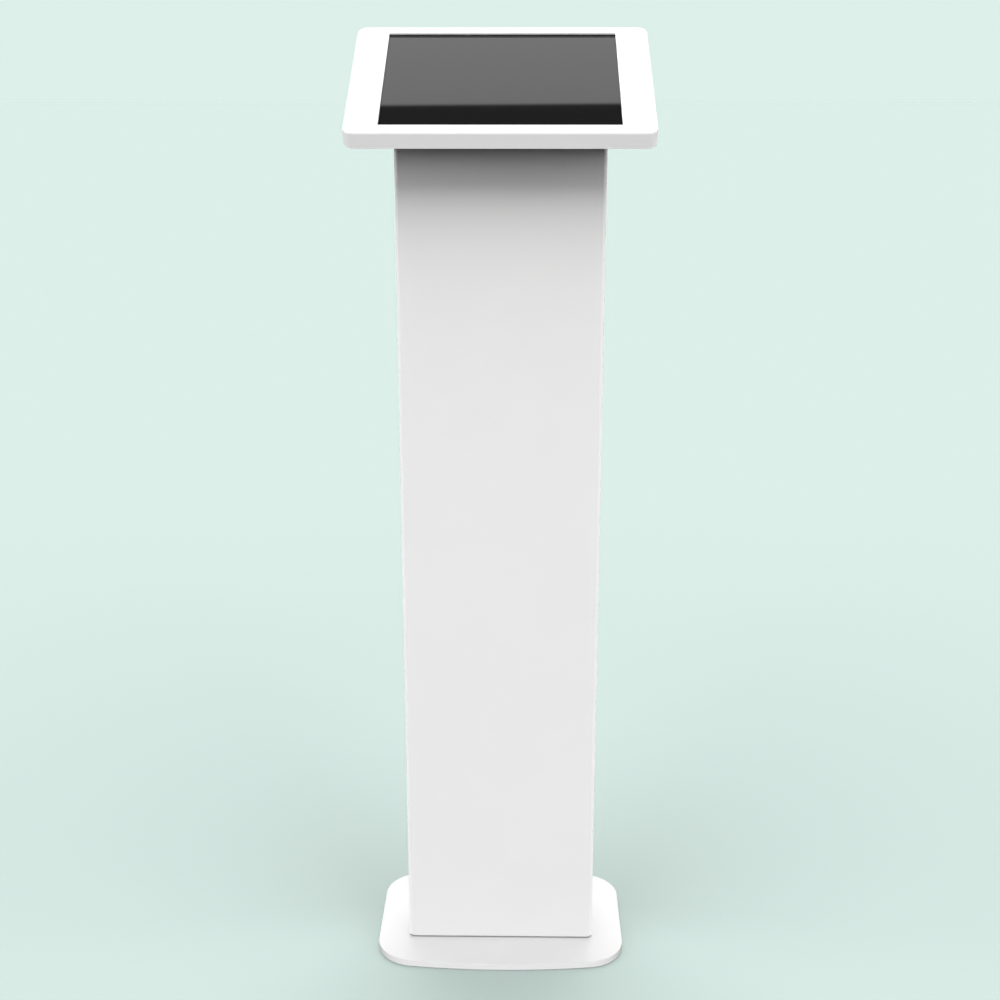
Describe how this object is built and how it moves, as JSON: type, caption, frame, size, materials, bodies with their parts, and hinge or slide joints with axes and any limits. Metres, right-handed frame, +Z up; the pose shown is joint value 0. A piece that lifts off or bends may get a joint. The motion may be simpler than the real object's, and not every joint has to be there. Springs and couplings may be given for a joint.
{
  "type": "tablet pillar stand",
  "caption": "Floor-standing sheet-metal column on a bowed base plate, with a tilted lockable head that frames a tablet.",
  "frame": {"origin": "on the floor under the middle of the base plate", "axes": "+Z up the column, -Y towards the user, +X to the user's right"},
  "size_m": [0.343, 0.224, 1.1546],
  "materials": {
    "white_powder_coat": "satin fine-texture powder coat",
    "zinc_steel": "zinc plated",
    "lock_chrome": "polished nickel chrome",
    "black_rubber": "matte",
    "black_foam": "matte closed-cell foam",
    "black_nylon": "matte",
    "tablet_aluminium": "fine blasted",
    "tablet_glass": "clear polished",
    "display_black": "switched-off display"
  },
  "bodies": {
    "stand": {"base_plate": "white_powder_coat", "foot_pads": "black_rubber", "column": "white_powder_coat", "base_washers": "zinc_steel", "base_bolts": "zinc_steel", "outlet_grommet": "black_rubber", "floor_bush": "black_rubber", "cable_clips": "black_nylon", "door_hinge_column_leaves": "zinc_steel", "door_hinge_pins": "zinc_steel", "door_hinge_column_screws": "zinc_steel", "door_strike": "white_powder_coat", "head_plate": "white_powder_coat", "head_nuts": "zinc_steel", "tray": "white_powder_coat", "head_screws": "zinc_steel", "head_grommet": "black_rubber", "lid_hinge_tray_leaf": "zinc_steel", "lid_hinge_pin": "zinc_steel", "lid_hinge_rivets": "zinc_steel", "lid_lock_barrel": "lock_chrome", "lid_lock_nut": "zinc_steel", "tablet_back": "tablet_aluminium", "tablet_glass": "tablet_glass", "tablet_display": "display_black", "corner_blocks": "black_foam"},
    "lid": {"front_frame": "white_powder_coat", "window_gasket": "black_foam", "lid_hinge_lid_leaf": "zinc_steel", "lid_keeper": "white_powder_coat"},
    "lid_cam": {"lid_lock_plug": "lock_chrome", "lid_lock_cam": "zinc_steel", "lid_lock_cam_screw": "zinc_steel"},
    "door": {"rear_door": "white_powder_coat", "door_hinge_door_leaves": "zinc_steel", "door_hinge_door_screws": "zinc_steel", "door_lock_barrel": "lock_chrome", "door_lock_nut": "zinc_steel"},
    "door_cam": {"door_lock_plug": "lock_chrome", "door_lock_cam": "zinc_steel", "door_lock_cam_screw": "zinc_steel"},
    "power_key": {"power_button": "tablet_aluminium"},
    "volume_up_key": {"volume_up_button": "tablet_aluminium"},
    "volume_down_key": {"volume_down_button": "tablet_aluminium"}
  },
  "joints": [
    {"name": "lid_hinge", "type": "hinge", "parent": "stand", "child": "lid", "pos_m": [0, 0.10547, 1.13713], "axis": [-1, 0, 0], "range_deg": [0, 100]},
    {"name": "lid_lock_turn", "type": "hinge", "parent": "stand", "child": "lid_cam", "pos_m": [0.15, -0.03446, 1.05727], "axis": [0, 0.509, -0.8607], "range_deg": [0, 90]},
    {"name": "door_hinge", "type": "hinge", "parent": "stand", "child": "door", "pos_m": [0.09125, 0.055, 0.44], "axis": [0, 0, -1], "range_deg": [0, 110]},
    {"name": "door_lock_turn", "type": "hinge", "parent": "door", "child": "door_cam", "pos_m": [-0.072, 0.052, 0.44], "axis": [0, 1, 0], "range_deg": [0, 90]},
    {"name": "power_press", "type": "slide", "parent": "stand", "child": "power_key", "axis": [1, 0, 0], "range_m": [0, 0.0004], "stiffness_N_per_m": 1500},
    {"name": "volume_up_press", "type": "slide", "parent": "stand", "child": "volume_up_key", "axis": [0, -0.8607, -0.509], "range_m": [0, 0.0004], "stiffness_N_per_m": 1500},
    {"name": "volume_down_press", "type": "slide", "parent": "stand", "child": "volume_down_key", "axis": [0, -0.8607, -0.509], "range_m": [0, 0.0004], "stiffness_N_per_m": 1500}
  ]
}
